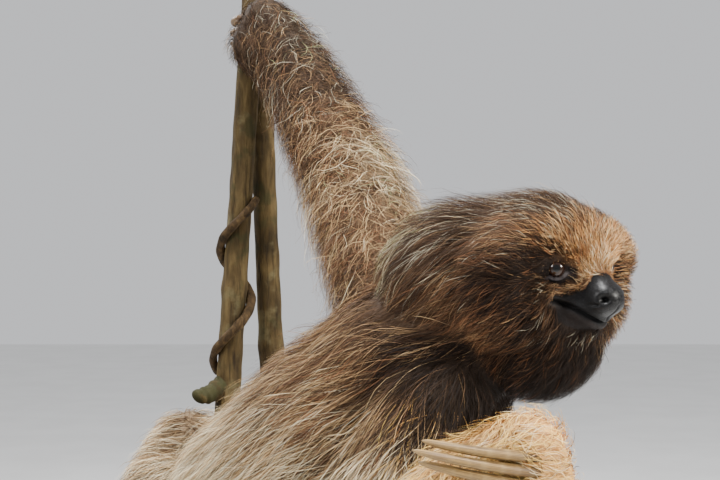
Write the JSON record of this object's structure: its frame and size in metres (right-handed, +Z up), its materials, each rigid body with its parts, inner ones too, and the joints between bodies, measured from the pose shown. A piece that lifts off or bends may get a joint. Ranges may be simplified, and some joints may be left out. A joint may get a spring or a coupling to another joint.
{
  "type": "three-toed sloth museum model",
  "caption": "Life-size three-toed sloth clinging to two thin stems, one arm raised and one folded, with long hooked claws, held by a round stand.",
  "frame": {"origin": "centre of the stand's underside", "axes": "+Z up along the stems; the animal's face looks between +X and -Y, and its belly and the stems are towards +Y"},
  "size_m": [0.39, 0.4863, 0.8],
  "materials": {
    "coat": "long dry brown hair, shorter and golden on face and hands",
    "snout": "bare black skin, satin and slightly moist",
    "eye": "glossy dark brown",
    "claw": "cream yellow horn, satin",
    "bark": "thin dry bark with a little moss",
    "vine": "dark fibrous bark",
    "base": "dark stained, satin varnish",
    "steel": "brushed"
  },
  "bodies": {
    "root": {"head": "coat", "neck": "coat", "chest": "coat", "belly": "coat", "tail": "coat", "left_upper_arm": "coat", "left_forearm": "coat", "left_hand": "coat", "right_upper_arm": "coat", "right_forearm": "coat", "right_hand": "coat", "left_thigh": "coat", "left_shin": "coat", "left_foot": "coat", "right_thigh": "coat", "right_shin": "coat", "right_foot": "coat", "snout": "snout", "eye_left": "eye", "eye_right": "eye", "left_hand_claw_1": "claw", "left_hand_claw_2": "claw", "left_hand_claw_3": "claw", "right_hand_claw_1": "claw", "right_hand_claw_2": "claw", "right_hand_claw_3": "claw", "left_foot_claw_1": "claw", "left_foot_claw_2": "claw", "left_foot_claw_3": "claw", "right_foot_claw_1": "claw", "right_foot_claw_2": "claw", "right_foot_claw_3": "claw", "perch_stem_left": "bark", "perch_stem_right": "bark", "perch_branch": "bark", "perch_vine": "vine", "stand_base": "base", "stand_rod_left": "steel", "stand_rod_right": "steel"}
  },
  "joints": []
}
